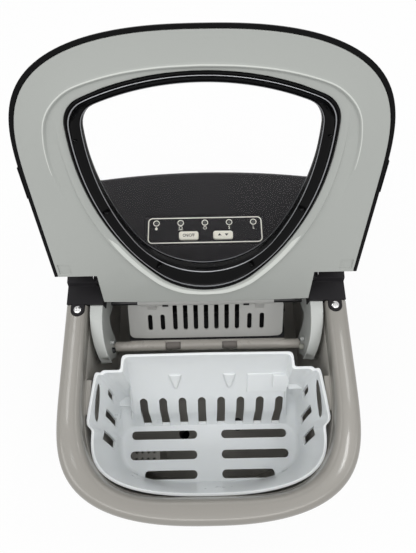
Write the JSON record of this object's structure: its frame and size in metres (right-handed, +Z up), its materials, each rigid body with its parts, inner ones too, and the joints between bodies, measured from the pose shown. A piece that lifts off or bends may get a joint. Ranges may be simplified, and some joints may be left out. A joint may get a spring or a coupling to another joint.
{
  "type": "ice maker",
  "caption": "Countertop ice maker with a hinged see-through lid standing open, a lift-out ice basket and a small control panel on its rear cover.",
  "frame": {"origin": "on the surface it stands on, under the middle of the body", "axes": "+Z up, front towards -Y, +X to the right seen from the front"},
  "size_m": [0.2442, 0.295, 0.4903],
  "materials": {
    "shell_beige": "gloss, silver beige",
    "frame_beige": "gloss, silver beige",
    "black_cover": "gloss black",
    "charcoal": "fine satin charcoal",
    "dark_pan": "matte dark grey",
    "foot_rubber": "matte black rubber",
    "grey_liner": "satin light grey",
    "tank_grey": "satin grey",
    "works_grey": "satin mid grey",
    "arm_grey": "satin pale grey",
    "basket_white": "satin cool white",
    "clear": "clear polycarbonate",
    "lens": "frosted lens",
    "panel_print": "printed panel",
    "button_cream": "satin cream",
    "steel": "plain steel",
    "alu": "plain aluminium",
    "copper": "copper tube",
    "iron_black": "black enamel",
    "board_green": "circuit board",
    "foam": "white foam",
    "hose": "clear silicone hose",
    "motor_grey": "zinc plated steel"
  },
  "bodies": {
    "housing": {"outer_shell": "shell_beige", "top_frame": "frame_beige", "base_pan": "dark_pan", "foot_front_left": "foot_rubber", "foot_front_right": "foot_rubber", "foot_rear_left": "foot_rubber", "foot_rear_right": "foot_rubber", "rear_panel": "dark_pan", "panel_screws": "steel", "cord_gland": "foot_rubber", "rear_top_cover": "charcoal", "ear_screws": "steel", "control_panel": "panel_print", "indicator_lenses": "lens", "control_board": "board_green", "water_tank": "tank_grey", "tank_insulation": "foam", "water_filter": "works_grey", "side_arm_left": "arm_grey", "side_arm_right": "arm_grey", "ice_sensors": "black_cover", "shovel_rod": "steel", "tray_motor": "motor_grey", "evaporator_block": "alu", "freezing_fingers": "steel", "evaporator_tube": "copper", "compressor": "iron_black", "compressor_terminals": "dark_pan", "compressor_mounts": "foot_rubber", "condenser": "alu", "fan_shroud": "dark_pan", "fan_motor": "motor_grey", "filter_drier": "copper", "hot_gas_valve": "dark_pan", "discharge_pipe": "copper", "suction_pipe": "copper", "liquid_pipe": "copper", "drier_pipe": "copper", "condenser_pipe": "copper", "water_pump": "dark_pan", "pump_hose": "hose", "hinge_pins": "steel"},
    "lid": {"lid_cover": "black_cover", "lid_liner": "grey_liner", "lid_window": "clear", "window_ring": "black_cover", "ring_screws": "steel"},
    "basket": {"ice_basket": "basket_white"},
    "shovel": {"ice_shovel": "works_grey"},
    "tray": {"water_tray": "works_grey"},
    "plug": {"drain_plug": "foot_rubber"},
    "power_key": {"power_button": "button_cream"},
    "select_key": {"select_button": "button_cream"},
    "fan": {"fan_blades": "dark_pan"}
  },
  "joints": [
    {"name": "lid_hinge", "type": "hinge", "parent": "housing", "child": "lid", "pos_m": [0, 0.0429, 0.3132], "axis": [1, 0, 0], "range_deg": [0, 116.3]},
    {"name": "basket_lift", "type": "slide", "parent": "housing", "child": "basket", "axis": [0, 0, 1], "range_m": [0, 0.15]},
    {"name": "shovel_swing", "type": "hinge", "parent": "housing", "child": "shovel", "pos_m": [0, 0.0345, 0.263], "axis": [1, 0, 0], "range_deg": [-40, 0]},
    {"name": "tray_tip", "type": "hinge", "parent": "housing", "child": "tray", "pos_m": [0, -0.0019, 0.238], "axis": [1, 0, 0], "range_deg": [-38, 0]},
    {"name": "plug_pull", "type": "slide", "parent": "housing", "child": "plug", "axis": [0, 0, -1], "range_m": [0, 0.02]},
    {"name": "power_press", "type": "slide", "parent": "housing", "child": "power_key", "axis": [0, 0, -1], "range_m": [0, 0.0015], "stiffness_N_per_m": 400, "springref_m": -0.001},
    {"name": "select_press", "type": "slide", "parent": "housing", "child": "select_key", "axis": [0, 0, -1], "range_m": [0, 0.0015], "stiffness_N_per_m": 400, "springref_m": -0.001},
    {"name": "fan_spin", "type": "hinge", "parent": "housing", "child": "fan", "pos_m": [0.063, 0.1105, 0.081], "axis": [0, 1, 0], "continuous": true}
  ]
}
